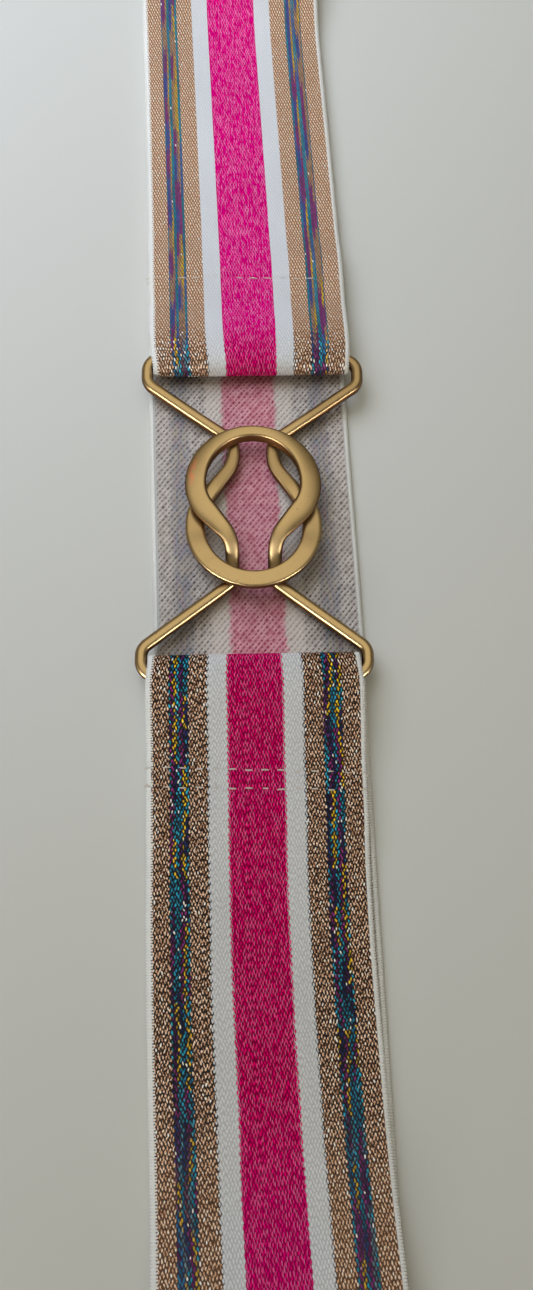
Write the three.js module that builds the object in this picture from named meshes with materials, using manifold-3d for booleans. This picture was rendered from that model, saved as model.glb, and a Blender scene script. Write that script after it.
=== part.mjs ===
// A woven stretch belt, fastened and laid flat as a doubled loop.
// It is one length of elastic whose ends are turned back round the bars of a two-part hook clasp.
// Millimetres, +Z up, +Y along the belt, +X across it. The clasp's middle is above the origin.
import * as THREE from "three";
import { mergeVertices } from "three/addons/utils/BufferGeometryUtils.js";
import Module from "manifold-3d";

const wasm = await Module();
wasm.setup();

// The elastic as it is woven, and how its layers lie on each other.
const STRAP_WIDTH = 50;
const STRAP_THICKNESS = 1.4;
const SELVEDGE_BEVEL = 0.35;
const LAYER_GAP = 0.25;

// The closed belt as it is laid: its length, and the open bend at each laid end.
const LAID_LENGTH = 390;
const END_BEND_RADIUS = 4.5;
const END_SWELL_LENGTH = 46;

// The ends turned back under round the clasp's bars, and the rows that sew them down.
const FOLD_CLEARANCE = 0.35;
const UPPER_FLAP_END = 69.5;
const LOWER_FLAP_END = 71.5;
const SEAM_WIDTH = 1.6;
const SEAM_OVERLAP = 0.2;
const SEAMS = [
  { along: 65.9, skew: -0.02 },
  { along: -63.4, skew: -0.058 },
  { along: -67.6, skew: -0.048 },
];

// Each clasp half is one wire, bent in plan and flattened towards its ring. A half's run is the
// distance from its bar. The corners are where straight stretches of the wire's middle would meet,
// and each is rounded by its own bend. The last one leads into the ring's half circle.
const BAR_DIAMETER = 2.9;
const LOWER_HALF = {
  barAcross: -1.2,
  barAlong: 41.5,
  barRise: 0,
  foldEdge: 36.2,
  yawDeg: 1.45,
  ringRadius: 13.95,
  ringRun: 47.4,
  corners: [
    { name: "bar end", halfWidth: 26.5, run: 0, bend: 3.6 },
    { name: "arm end", halfWidth: 26.5, run: 6.6, bend: 3.4 },
    { name: "neck", halfWidth: 5.0, run: 23.6, bend: 3 },
    { name: "shoulder", halfWidth: 5.2, run: 33.4, bend: 3 },
    { name: "side", halfWidth: 13.95, run: 43.3, bend: 9 },
  ],
  wire: [
    { run: 0, rise: 0, width: 2.9, depth: 2.9 },
    { run: 8, rise: -0.2, width: 2.9, depth: 2.9 },
    { run: 17, rise: -1.1, width: 2.9, depth: 2.9 },
    { run: 22, rise: -1.5, width: 2.9, depth: 2.9 },
    { run: 25.5, rise: -1.4, width: 2.9, depth: 2.9 },
    { run: 29, rise: -0.2, width: 2.9, depth: 2.9 },
    { run: 33, rise: 2.1, width: 3.1, depth: 2.7 },
    { run: 36, rise: 2.9, width: 4.0, depth: 2.4 },
    { run: 41, rise: 3.1, width: 5.0, depth: 2.4 },
    { run: 48, rise: 3.0, width: 4.8, depth: 2.4 },
    { run: 55, rise: 2.4, width: 4.5, depth: 2.4 },
    { run: 61.8, rise: 1.7, width: 4.1, depth: 2.5 },
  ],
};
const UPPER_HALF = {
  barAcross: 1.1,
  barAlong: 41.4,
  barRise: 0.2,
  foldEdge: 37.1,
  yawDeg: 1.6,
  ringRadius: 14.2,
  ringRun: 45.8,
  corners: [
    { name: "bar end", halfWidth: 26.6, run: 0, bend: 3.6 },
    { name: "arm end", halfWidth: 26.6, run: 7.1, bend: 3.4 },
    { name: "neck", halfWidth: 4.95, run: 22.2, bend: 3 },
    { name: "shoulder", halfWidth: 4.95, run: 27.2, bend: 5 },
    { name: "side", halfWidth: 14.2, run: 41.5, bend: 8 },
  ],
  wire: [
    { run: 0, rise: 0, width: 2.9, depth: 2.9 },
    { run: 8, rise: -0.4, width: 2.9, depth: 2.9 },
    { run: 16, rise: -1.4, width: 2.9, depth: 2.9 },
    { run: 21, rise: -1.7, width: 2.9, depth: 2.9 },
    { run: 27, rise: -1.7, width: 2.9, depth: 2.8 },
    { run: 32, rise: -1.6, width: 3.3, depth: 2.6 },
    { run: 37, rise: -1.2, width: 3.8, depth: 2.4 },
    { run: 42, rise: -0.6, width: 4.3, depth: 2.4 },
    { run: 47, rise: 0.1, width: 4.4, depth: 2.4 },
    { run: 53, rise: 1.2, width: 4.3, depth: 2.4 },
    { run: 60, rise: 1.8, width: 4.4, depth: 2.5 },
  ],
};

// How the elastic lies: the sideways wander of its front and back layers, the width of the front
// one, which draws in where it enters the clasp, and how far its crosswise threads lean.
const STRAP_ROWS = [
  { along: -195, front: -0.2, back: -0.2, width: 50, lean: 0 },
  { along: -166, front: -0.8, back: -0.4, width: 50.4, lean: 0 },
  { along: -128, front: -1.7, back: -0.55, width: 50, lean: 0 },
  { along: -98, front: -2.05, back: -0.55, width: 49.7, lean: -0.01 },
  { along: -68, front: -1.6, back: -0.4, width: 49.7, lean: -0.03 },
  { along: -44, front: -1.3, back: 0, width: 50, lean: -0.018 },
  { along: -38, front: -1.25, back: 0.2, width: 49.0, lean: -0.014 },
  { along: 38, front: 0.75, back: -0.4, width: 49.2, lean: -0.005 },
  { along: 44, front: 0.55, back: -0.4, width: 50.3, lean: -0.01 },
  { along: 67, front: 0.4, back: -0.5, width: 50.8, lean: -0.01 },
  { along: 108, front: -0.3, back: -0.5, width: 50.4, lean: 0 },
  { along: 132, front: -0.8, back: -0.7, width: 50.1, lean: 0 },
  { along: 156, front: -1.25, back: -1, width: 50, lean: 0 },
  { along: 195, front: -1.4, back: -1.4, width: 50, lean: 0 },
];

// How finely the curved surfaces are divided.
const WIRE_SIDES = 12;
const WIRE_STEP = 1.7;
const BEND_STEP_DEG = 12;
const STRAP_STEP = 4;
const FOLD_STEPS = 10;

// Sizes that follow from the ones above. Strap heights are those of the middle of its thickness.
const DEG = Math.PI / 180;
const BACK_HEIGHT = STRAP_THICKNESS / 2;
const LAID_HEIGHT = BACK_HEIGHT + STRAP_THICKNESS + LAYER_GAP;
const SEAM_HEIGHT = LAID_HEIGHT + STRAP_THICKNESS + LAYER_GAP;
const FOLD_RISE = (BAR_DIAMETER + STRAP_THICKNESS) / 2 + FOLD_CLEARANCE;
const BAR_HEIGHT = LAID_HEIGHT + FOLD_RISE;
const END_BEND_ALONG = LAID_LENGTH / 2 - END_BEND_RADIUS - STRAP_THICKNESS / 2;

// Reads a column of a table at a place between its rows, with no overshoot between them.
function readRows(rows, key, column, place) {
  const last = rows.length - 1;
  if (place <= rows[0][key]) return rows[0][column];
  if (place >= rows[last][key]) return rows[last][column];
  const i = rows.findIndex((row) => row[key] > place) - 1;
  const slope = (a, b) => (rows[b][column] - rows[a][column]) / (rows[b][key] - rows[a][key]);
  const slopeAt = (k) => {
    if (k === 0 || k === last) return 0;
    const before = slope(k - 1, k);
    const after = slope(k, k + 1);
    return before * after <= 0 ? 0 : (2 * before * after) / (before + after);
  };
  const span = rows[i + 1][key] - rows[i][key];
  const t = (place - rows[i][key]) / span;
  const ease = t * t * (3 - 2 * t);
  const leave = slopeAt(i) * span * t * (1 - t) ** 2;
  const arrive = slopeAt(i + 1) * span * t * t * (t - 1);
  return THREE.MathUtils.lerp(rows[i][column], rows[i + 1][column], ease) + leave + arrive;
}

// A closed surface through rings of points, which all go round their middle the same way.
function loft(rings, closed) {
  const sides = rings[0].length;
  const positions = rings.flat().flatMap((p) => [p.x, p.y, p.z]);
  const index = [];
  const bands = closed ? rings.length : rings.length - 1;
  for (let r = 0; r < bands; r++) {
    const next = (r + 1) % rings.length;
    for (let s = 0; s < sides; s++) {
      const a = r * sides + s;
      const b = r * sides + ((s + 1) % sides);
      const c = next * sides + ((s + 1) % sides);
      const d = next * sides + s;
      index.push(a, c, b, a, d, c);
    }
  }
  if (!closed) {
    const end = (rings.length - 1) * sides;
    for (let s = 1; s < sides - 1; s++) {
      index.push(0, s, s + 1);
      index.push(end, end + s + 1, end + s);
    }
  }
  const geometry = new THREE.BufferGeometry();
  geometry.setAttribute("position", new THREE.Float32BufferAttribute(positions, 3));
  geometry.setIndex(index);
  return geometry;
}

// Carries a path up to a corner and round it on an arc of the given radius.
function roundCorner(path, from, corner, to, radius) {
  const inward = from.clone().sub(corner).normalize();
  const outward = to.clone().sub(corner).normalize();
  const half = Math.acos(inward.dot(outward)) / 2;
  const start = corner.clone().addScaledVector(inward, radius / Math.tan(half));
  const end = corner.clone().addScaledVector(outward, radius / Math.tan(half));
  const middle = inward.clone().add(outward).normalize();
  const centre = corner.clone().addScaledVector(middle, radius / Math.sin(half));
  const startAngle = start.clone().sub(centre).angle();
  const endAngle = end.clone().sub(centre).angle();
  path.lineTo(start.x, start.y);
  path.absarc(centre.x, centre.y, radius, startAngle, endAngle, inward.cross(outward) > 0);
}

// Plan of the right side of a clasp half, from the middle of its bar to the far end of its ring.
function claspPlan({ corners, ringRadius, ringRun }) {
  const bar = new THREE.Vector2(0, 0);
  const ringSide = new THREE.Vector2(ringRadius, ringRun);
  const points = [bar, ...corners.map((row) => new THREE.Vector2(row.halfWidth, row.run)), ringSide];
  const path = new THREE.Path();
  path.moveTo(bar.x, bar.y);
  corners.forEach((row, i) => {
    roundCorner(path, points[i], points[i + 1], points[i + 2], row.bend);
  });
  path.lineTo(ringSide.x, ringSide.y);
  path.absarc(0, ringRun, ringRadius, 0, Math.PI / 2, false);
  return path;
}

// Points along a plan path, closer together on its tighter bends.
function planPoints(path) {
  const points = [];
  for (const curve of path.curves) {
    const length = curve.getLength();
    const turn = curve.isEllipseCurve ? length / curve.xRadius / DEG : 0;
    if (length < WIRE_STEP / 8) continue;
    const pieces = Math.ceil(Math.max(length / WIRE_STEP, turn / BEND_STEP_DEG));
    for (let i = 0; i < pieces; i++) points.push(curve.getPoint(i / pieces));
  }
  points.push(path.getPoint(1));
  return points;
}

// The wire's section: round where it is as deep as it is wide, and squarer where it is flattened.
function wireSection(width, depth) {
  const power = 1 / (1 + 0.6 * (width / depth - 1));
  const shaped = (value) => Math.sign(value) * Math.abs(value) ** power;
  const section = [];
  for (let s = 0; s < WIRE_SIDES; s++) {
    const angle = (2 * Math.PI * s) / WIRE_SIDES;
    const across = (shaped(Math.cos(angle)) * width) / 2;
    const up = (shaped(Math.sin(angle)) * depth) / 2;
    section.push({ across, up });
  }
  return section;
}

// One clasp half as a closed loop of wire, with its bar along X at the origin and its ring on +Y.
function claspHalf(half) {
  const right = planPoints(claspPlan(half));
  const left = right.slice(1, -1).reverse();
  const mirrored = left.map((p) => new THREE.Vector2(-p.x, p.y));
  const stations = [...right, ...mirrored].map(
    (p) => new THREE.Vector3(p.x, p.y, readRows(half.wire, "run", "rise", p.y)),
  );
  const up = new THREE.Vector3(0, 0, 1);
  const rings = stations.map((at, i) => {
    const ahead = stations[(i + 1) % stations.length].clone().sub(stations.at(i - 1));
    const across = ahead.clone().cross(up).normalize();
    const raised = across.clone().cross(ahead).normalize();
    const width = readRows(half.wire, "run", "width", at.y);
    const depth = readRows(half.wire, "run", "depth", at.y);
    return wireSection(width, depth).map((p) =>
      at.clone().addScaledVector(across, p.across).addScaledVector(raised, p.up),
    );
  });
  return loft(rings, true);
}

// The turned-back end's height by distance from the clasp's middle.
function flapRows({ barAlong, barRise }) {
  return [
    { along: barAlong, height: LAID_HEIGHT + barRise },
    { along: barAlong + 10, height: LAID_HEIGHT },
  ];
}

// The front layer's height by distance from the clasp's middle: over the bar, down on to the
// turned-back end, down on to the back layer, and up again into the open bend of the laid end.
function frontRows({ barAlong, barRise }, flapEnd) {
  const foldTop = BAR_HEIGHT + barRise + FOLD_RISE;
  return [
    { along: barAlong, height: foldTop },
    { along: barAlong + 2.5, height: foldTop },
    { along: barAlong + 9, height: foldTop - 1.2 },
    { along: flapEnd - 10, height: SEAM_HEIGHT },
    { along: flapEnd + 1, height: SEAM_HEIGHT },
    { along: flapEnd + 12, height: LAID_HEIGHT },
    { along: END_BEND_ALONG - END_SWELL_LENGTH, height: LAID_HEIGHT },
    { along: END_BEND_ALONG - 14, height: BACK_HEIGHT + 1.65 * END_BEND_RADIUS },
    { along: END_BEND_ALONG, height: BACK_HEIGHT + 2 * END_BEND_RADIUS },
  ];
}

// A level stretch of the strap's route, read from a table of heights.
function layerRun(from, to, rows, layer) {
  const steps = Math.ceil(Math.abs(to - from) / STRAP_STEP);
  const run = [];
  for (let i = 0; i <= steps; i++) {
    const along = THREE.MathUtils.lerp(from, to, i / steps);
    run.push({ along, height: readRows(rows, "along", "height", along), layer });
  }
  return run;
}

// A half turn of the route between two layers, on an ellipse that reaches away from its centre.
function halfTurn(centreAlong, reach, lowHeight, highHeight, upward, layer) {
  const turn = [];
  for (let i = 1; i < FOLD_STEPS; i++) {
    const angle = (Math.PI * i) / FOLD_STEPS;
    const lift = (1 - Math.cos(angle)) / 2;
    const along = centreAlong + reach * Math.sin(angle);
    const height = THREE.MathUtils.lerp(lowHeight, highHeight, upward ? lift : 1 - lift);
    turn.push({ along, height, layer });
  }
  return turn;
}

// The strap's route at one end of the belt, seen from the side: the turned-back end, the fold
// round the bar, the front layer and the open bend at the laid end.
function endRoute(half, flapEnd) {
  const barHeight = BAR_HEIGHT + half.barRise;
  const foldReach = half.barAlong - half.foldEdge - STRAP_THICKNESS / 2;
  const foldLow = barHeight - FOLD_RISE;
  const foldHigh = barHeight + FOLD_RISE;
  const laidTop = BACK_HEIGHT + 2 * END_BEND_RADIUS;
  return [
    ...layerRun(flapEnd, half.barAlong, flapRows(half), "front"),
    ...halfTurn(half.barAlong, -foldReach, foldLow, foldHigh, true, "front"),
    ...layerRun(half.barAlong, END_BEND_ALONG, frontRows(half, flapEnd), "front"),
    ...halfTurn(END_BEND_ALONG, END_BEND_RADIUS, BACK_HEIGHT, laidTop, false, "back"),
  ];
}

// The whole route, from one turned-back end round the laid loop to the other.
function strapRoute() {
  const upper = endRoute(UPPER_HALF, UPPER_FLAP_END);
  const lower = endRoute(LOWER_HALF, LOWER_FLAP_END).reverse();
  const mirrored = lower.map((p) => ({ ...p, along: -p.along }));
  const level = [{ along: 0, height: BACK_HEIGHT }];
  const back = layerRun(END_BEND_ALONG, -END_BEND_ALONG, level, "back");
  return [...upper, ...back, ...mirrored];
}

// A flat section with bevelled edges, where the selvedges are thinner than the middle.
function strapSection(width) {
  const side = width / 2;
  const flat = side - 2 * SELVEDGE_BEVEL;
  const out = STRAP_THICKNESS / 2;
  const edge = out - SELVEDGE_BEVEL;
  return [
    { across: side, out: -edge },
    { across: side, out: edge },
    { across: flat, out },
    { across: -flat, out },
    { across: -side, out: edge },
    { across: -side, out: -edge },
    { across: -flat, out: -out },
    { across: flat, out: -out },
  ];
}

// The elastic along its route. Its right side faces out of the loop all the way round.
function strapStrip() {
  const route = strapRoute();
  const rings = route.map((at, i) => {
    const before = route[Math.max(0, i - 1)];
    const after = route[Math.min(route.length - 1, i + 1)];
    const ahead = new THREE.Vector2(after.along - before.along, after.height - before.height);
    ahead.normalize();
    const wander = readRows(STRAP_ROWS, "along", at.layer, at.along);
    const front = at.layer === "front";
    const width = front ? readRows(STRAP_ROWS, "along", "width", at.along) : STRAP_WIDTH;
    const lean = front ? readRows(STRAP_ROWS, "along", "lean", at.along) : 0;
    return strapSection(width).map((p) => {
      const along = at.along + lean * p.across - p.out * ahead.y;
      return new THREE.Vector3(wander + p.across, along, at.height + p.out * ahead.x);
    });
  });
  return loft(rings, false);
}

// The thickness of one sewn row, which joins a turned-back end to the front layer above it.
function seam({ along, skew }) {
  const height = LAYER_GAP + 2 * SEAM_OVERLAP;
  const row = new THREE.BoxGeometry(STRAP_WIDTH - 8, SEAM_WIDTH, height);
  row.rotateZ(skew);
  const wander = readRows(STRAP_ROWS, "along", "front", along);
  row.translate(wander, along, (LAID_HEIGHT + SEAM_HEIGHT) / 2);
  return row;
}

// Turns a closed geometry into a solid that can be joined, and back.
function toSolid(geometry) {
  const bare = geometry.clone();
  bare.deleteAttribute("normal");
  bare.deleteAttribute("uv");
  const merged = mergeVertices(bare, 1e-4);
  const vertProperties = merged.attributes.position.array;
  const triVerts = new Uint32Array(merged.index.array);
  return new wasm.Manifold(new wasm.Mesh({ numProp: 3, vertProperties, triVerts }));
}

function fromSolid(solid) {
  const mesh = solid.getMesh();
  const geometry = new THREE.BufferGeometry();
  geometry.setAttribute("position", new THREE.BufferAttribute(mesh.vertProperties, 3));
  geometry.setIndex(new THREE.BufferAttribute(mesh.triVerts, 1));
  return geometry;
}

function sewnStrap() {
  return fromSolid(SEAMS.reduce((solid, row) => solid.add(toSolid(seam(row))), toSolid(strapStrip())));
}

function named(name, geometry, material) {
  const mesh = new THREE.Mesh(geometry, material);
  mesh.name = name;
  return mesh;
}

const elastic = new THREE.MeshStandardMaterial({ color: 0xc2a58c, roughness: 0.8, metalness: 0 });
const brass = new THREE.MeshStandardMaterial({ color: 0xb0935a, roughness: 0.35, metalness: 1 });

const belt = new THREE.Group();
belt.add(named("strap", sewnStrap(), elastic));

// Sets a half down with its bar on one side of the middle and its ring towards it.
function placeHalf(name, half, side) {
  const mesh = named(name, claspHalf(half), brass);
  const yaw = half.yawDeg * DEG;
  mesh.position.set(half.barAcross, side * half.barAlong, BAR_HEIGHT + half.barRise);
  mesh.rotation.z = side > 0 ? Math.PI - yaw : -yaw;
  return mesh;
}
belt.add(placeHalf("clasp_half_lower", LOWER_HALF, -1));
belt.add(placeHalf("clasp_half_upper", UPPER_HALF, 1));

export default belt;
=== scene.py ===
"""A woven stretch belt, fastened with a two-part hook clasp and laid flat as a doubled loop.

Sizes in the tables are millimetres, +Y runs along the belt and +Z is up. Meshes are in metres.
"""

import math
import random

import bpy
from bpy.props import FloatProperty, FloatVectorProperty, IntProperty, PointerProperty
from mathutils import Matrix, Vector


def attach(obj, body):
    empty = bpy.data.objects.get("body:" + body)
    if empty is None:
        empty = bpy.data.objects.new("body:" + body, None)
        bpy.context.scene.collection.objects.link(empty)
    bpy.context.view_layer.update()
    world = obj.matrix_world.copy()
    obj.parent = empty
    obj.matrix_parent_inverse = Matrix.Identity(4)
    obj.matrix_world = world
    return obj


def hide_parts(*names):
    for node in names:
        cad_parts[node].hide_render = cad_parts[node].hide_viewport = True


bl_info = {
    "name": "Woven stretch belt",
    "version": (1, 0, 0),
    "blender": (4, 5, 0),
    "location": "3D View > Sidebar > Belt",
    "description": "Builds a striped elastic belt with a hook clasp round its packed frame",
    "category": "Add Mesh",
}

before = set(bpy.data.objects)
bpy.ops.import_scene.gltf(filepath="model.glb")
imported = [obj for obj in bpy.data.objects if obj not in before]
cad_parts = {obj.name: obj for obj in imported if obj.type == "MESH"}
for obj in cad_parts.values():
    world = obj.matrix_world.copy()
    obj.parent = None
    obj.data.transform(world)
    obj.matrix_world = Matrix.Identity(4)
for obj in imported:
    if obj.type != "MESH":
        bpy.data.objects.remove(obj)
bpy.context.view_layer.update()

MM = 0.001

# The strap's route, as in the frame: its layers, laid ends, turned-back ends and sewn rows.
STRAP_WIDTH = 50
STRAP_THICKNESS = 1.4
LAYER_GAP = 0.25
LAID_LENGTH = 390
END_BEND_RADIUS = 4.5
END_SWELL_LENGTH = 46
FOLD_CLEARANCE = 0.35
UPPER_FLAP_END = 69.5
LOWER_FLAP_END = 71.5
BAR_DIAMETER = 2.9
BACK_HEIGHT = STRAP_THICKNESS / 2
LAID_HEIGHT = BACK_HEIGHT + STRAP_THICKNESS + LAYER_GAP
SEAM_HEIGHT = LAID_HEIGHT + STRAP_THICKNESS + LAYER_GAP
FOLD_RISE = (BAR_DIAMETER + STRAP_THICKNESS) / 2 + FOLD_CLEARANCE
BAR_HEIGHT = LAID_HEIGHT + FOLD_RISE
END_BEND_ALONG = LAID_LENGTH / 2 - END_BEND_RADIUS - STRAP_THICKNESS / 2

# Sewn rows: where each crosses the belt's middle, how it slants, how deep it sinks into the
# cloth, and how high its stitches arch.
SEAMS = (
    {"along": 65.9, "skew": -0.02, "sunk": 0.30, "arch": 0.4},
    {"along": -63.4, "skew": -0.058, "sunk": 0.16, "arch": 0.5},
    {"along": -67.6, "skew": -0.048, "sunk": 0.16, "arch": 0.5},
)

# Place along the belt, sideways wander of the front layer and of the back one, width of the
# front layer, and lean of its crosswise threads.
STRAP_ROWS = (
    (-195, -0.2, -0.2, 50, 0), (-166, -0.8, -0.4, 50.4, 0), (-128, -1.7, -0.55, 50, 0),
    (-98, -2.05, -0.55, 49.7, -0.01), (-68, -1.6, -0.4, 49.7, -0.03),
    (-44, -1.3, 0, 50, -0.018), (-38, -1.25, 0.2, 49, -0.014), (38, 0.75, -0.4, 49.2, -0.005),
    (44, 0.55, -0.4, 50.3, -0.01), (67, 0.4, -0.5, 50.8, -0.01), (108, -0.3, -0.5, 50.4, 0),
    (132, -0.8, -0.7, 50.1, 0), (156, -1.25, -1, 50, 0), (195, -1.4, -1.4, 50, 0),
)

# Each clasp half is one wire bent in plan. A half's run is the distance from its bar. Corners
# give (half width, run, bend radius). The wire table gives (run, rise, width, depth, roundness),
# where a roundness of 1 is an ellipse and smaller numbers are squarer. The crown is how much
# lower the ring's top is at its outer edge than at its inner one, and the splay is how far the
# inner wall leans back at the end of the ring.
LOWER_HALF = {
    "side": -1,
    "bar_across": -1.2,
    "bar_along": 41.5,
    "bar_rise": 0,
    "fold_edge": 36.2,
    "yaw": 1.45,
    "ring_radius": 13.95,
    "ring_run": 47.4,
    "crown": 0.8,
    "splay": 0.65,
    "corners": (
        (26.5, 0, 3.6), (26.5, 6.6, 3.4), (5.0, 23.6, 3), (5.2, 33.2, 8), (13.95, 43.3, 10.5),
    ),
    "wire": (
        (0, 0, 2.9, 2.9, 0.82), (8, -0.2, 2.9, 2.9, 0.82), (17, -1.1, 2.9, 2.9, 0.82),
        (22, -1.5, 2.9, 2.9, 0.82), (25.5, -1.4, 3.15, 2.9, 0.8), (29, -0.2, 3.35, 2.9, 0.78),
        (33, 2.1, 3.6, 2.7, 0.74), (36, 2.9, 4.3, 2.4, 0.68), (41, 3.1, 5.25, 2.4, 0.6),
        (48, 3.0, 5.1, 2.4, 0.5), (55, 2.4, 4.6, 2.4, 0.42), (59, 2.0, 4.0, 2.4, 0.38),
        (61.8, 1.7, 3.3, 2.5, 0.36),
    ),
}
UPPER_HALF = {
    "side": 1,
    "bar_across": 1.1,
    "bar_along": 41.4,
    "bar_rise": 0.2,
    "fold_edge": 37.1,
    "yaw": 1.6,
    "ring_radius": 14.2,
    "ring_run": 45.8,
    "crown": 0.12,
    "splay": 0.0,
    "corners": (
        (26.6, 0, 3.6), (26.6, 7.1, 3.4), (4.9, 22.2, 3), (4.95, 28.7, 8.5), (14.2, 41.2, 11),
    ),
    "wire": (
        (0, 0, 2.9, 2.9, 0.8), (8, -0.4, 2.9, 2.9, 0.8), (16, -1.4, 2.9, 2.9, 0.8),
        (21, -1.7, 2.95, 2.9, 0.76), (27, -1.7, 3.3, 2.8, 0.66), (32, -1.6, 3.5, 2.6, 0.58),
        (37, -1.2, 4.1, 2.4, 0.48), (42, -0.6, 4.6, 2.4, 0.42), (47, 0.1, 4.7, 2.4, 0.4),
        (53, 1.2, 4.5, 2.4, 0.38), (60, 1.8, 4.1, 2.5, 0.34),
    ),
}

# How finely the surfaces are divided.
ROUTE_STEP = 1.6
SEWN_STEP = 0.4
TURN_STEPS = 26
STRAP_COLUMNS = 44
EDGE_POINTS = 5
WIRE_STEP = 0.6
WIRE_TURN_STEP = math.radians(4)
WIRE_SIDES = 32
RIB_POINTS = 6
RIB_SIDES = 6
STITCH_POINTS = 15
STITCH_SIDES = 7

# Half the height of a selvedge rib, measured along its middle. With its own thickness it stands
# out a little from both faces of the cloth.
RIB_HALF_HEIGHT = 0.52

# Where the ring's inner wall starts to lean back, and over what run. The crown sets in where the
# wire is so many times wider than deep, and is full when that has grown by the second number.
SPLAY_START = 51
SPLAY_LENGTH = 9
CROWN_START = 1.3
CROWN_GROWTH = 0.6

# The stretch on each side of the belt's middle that is divided finely because it is sewn.
SEWN_FROM = 58
SEWN_TO = 74

# A seam's dent: how far it reaches from the row, half its length along the row, its width, and
# the step of its puckers. Beside it the cloth rises a little: how far off, how wide and how high.
DENT_REACH = 4
DENT_HALF_LENGTH = 24.6
DENT_WIDTH = 0.55
PUCKER_STEP = 3.6
RIDGE_OFF = 1.5
RIDGE_WIDTH = 0.9
RIDGE_SHARE = 0.3


def srgb(red, green, blue):
    """A colour as a picture gives it, from 0 to 255, in the linear values that Blender keeps."""
    def linear(value):
        value /= 255
        return value / 12.92 if value <= 0.04045 else ((value + 0.055) / 1.055) ** 2.4

    return linear(red), linear(green), linear(blue)


def read_rows(rows, place):
    """Reads a table of (place, value) rows between its rows, smoothly and with no overshoot."""
    last = len(rows) - 1
    if place <= rows[0][0]:
        return rows[0][1]
    if place >= rows[last][0]:
        return rows[last][1]
    i = next(k for k, row in enumerate(rows) if row[0] > place) - 1

    def slope(k):
        return (rows[k + 1][1] - rows[k][1]) / (rows[k + 1][0] - rows[k][0])

    def slope_at(k):
        if k in (0, last):
            return 0
        before, after = slope(k - 1), slope(k)
        return 0 if before * after <= 0 else 2 * before * after / (before + after)

    span = rows[i + 1][0] - rows[i][0]
    t = (place - rows[i][0]) / span
    level = rows[i][1] + (rows[i + 1][1] - rows[i][1]) * t * t * (3 - 2 * t)
    return level + slope_at(i) * span * t * (1 - t) ** 2 + slope_at(i + 1) * span * t * t * (t - 1)


def column(rows, index):
    """One column of a table, with the places that its rows start with."""
    return tuple((row[0], row[index]) for row in rows)


FRONT_WANDER, BACK_WANDER, FRONT_WIDTH, FRONT_LEAN = (column(STRAP_ROWS, i) for i in range(1, 5))


def between(start, end, share):
    return start + (end - start) * share


def flap_rows(half):
    return (
        (half["bar_along"], LAID_HEIGHT + half["bar_rise"]),
        (half["bar_along"] + 10, LAID_HEIGHT),
    )


def front_rows(half, flap_end):
    """The front layer's heights: over the bar, down on to the turned-back end and the back layer,
    and up again into the open bend of the laid end."""
    fold_top = BAR_HEIGHT + half["bar_rise"] + FOLD_RISE
    return (
        (half["bar_along"], fold_top),
        (half["bar_along"] + 2.5, fold_top),
        (half["bar_along"] + 9, fold_top - 1.2),
        (flap_end - 10, SEAM_HEIGHT),
        (flap_end + 1, SEAM_HEIGHT),
        (flap_end + 12, LAID_HEIGHT),
        (END_BEND_ALONG - END_SWELL_LENGTH, LAID_HEIGHT),
        (END_BEND_ALONG - 14, BACK_HEIGHT + 1.65 * END_BEND_RADIUS),
        (END_BEND_ALONG, BACK_HEIGHT + 2 * END_BEND_RADIUS),
    )


def layer_run(start, end, rows, layer):
    """A level stretch of the route, with its points closer together where it is sewn."""
    places = [start]
    direction = 1 if end > start else -1
    while (end - places[-1]) * direction > SEWN_STEP / 2:
        sewn = SEWN_FROM < abs(places[-1]) < SEWN_TO and layer == "front"
        places.append(places[-1] + direction * (SEWN_STEP if sewn else ROUTE_STEP))
    places[-1] = end
    return [(along, read_rows(rows, along), layer) for along in places]


def half_turn(centre, reach, low, high, upward, layer):
    """A half turn between two layers, on an ellipse that reaches away from its centre."""
    turn = []
    for i in range(1, TURN_STEPS):
        angle = math.pi * i / TURN_STEPS
        lift = (1 - math.cos(angle)) / 2
        along = centre + reach * math.sin(angle)
        turn.append((along, between(low, high, lift if upward else 1 - lift), layer))
    return turn


def end_route(half, flap_end):
    bar_height = BAR_HEIGHT + half["bar_rise"]
    fold_reach = half["bar_along"] - half["fold_edge"] - STRAP_THICKNESS / 2
    fold_low, fold_high = bar_height - FOLD_RISE, bar_height + FOLD_RISE
    laid_top = BACK_HEIGHT + 2 * END_BEND_RADIUS
    bar_along = half["bar_along"]
    return [
        *layer_run(flap_end, bar_along, flap_rows(half), "flap"),
        *half_turn(bar_along, -fold_reach, fold_low, fold_high, True, "fold"),
        *layer_run(bar_along, END_BEND_ALONG, front_rows(half, flap_end), "front"),
        *half_turn(END_BEND_ALONG, END_BEND_RADIUS, BACK_HEIGHT, laid_top, False, "back"),
    ]


def strap_route():
    """The strap's middle from one turned-back end round the laid loop to the other."""
    upper = end_route(UPPER_HALF, UPPER_FLAP_END)
    lower = reversed(end_route(LOWER_HALF, LOWER_FLAP_END))
    level = ((0, BACK_HEIGHT),)
    back = layer_run(END_BEND_ALONG, -END_BEND_ALONG, level, "back")
    return [*upper, *back, *[(-along, height, layer) for along, height, layer in lower]]


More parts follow.
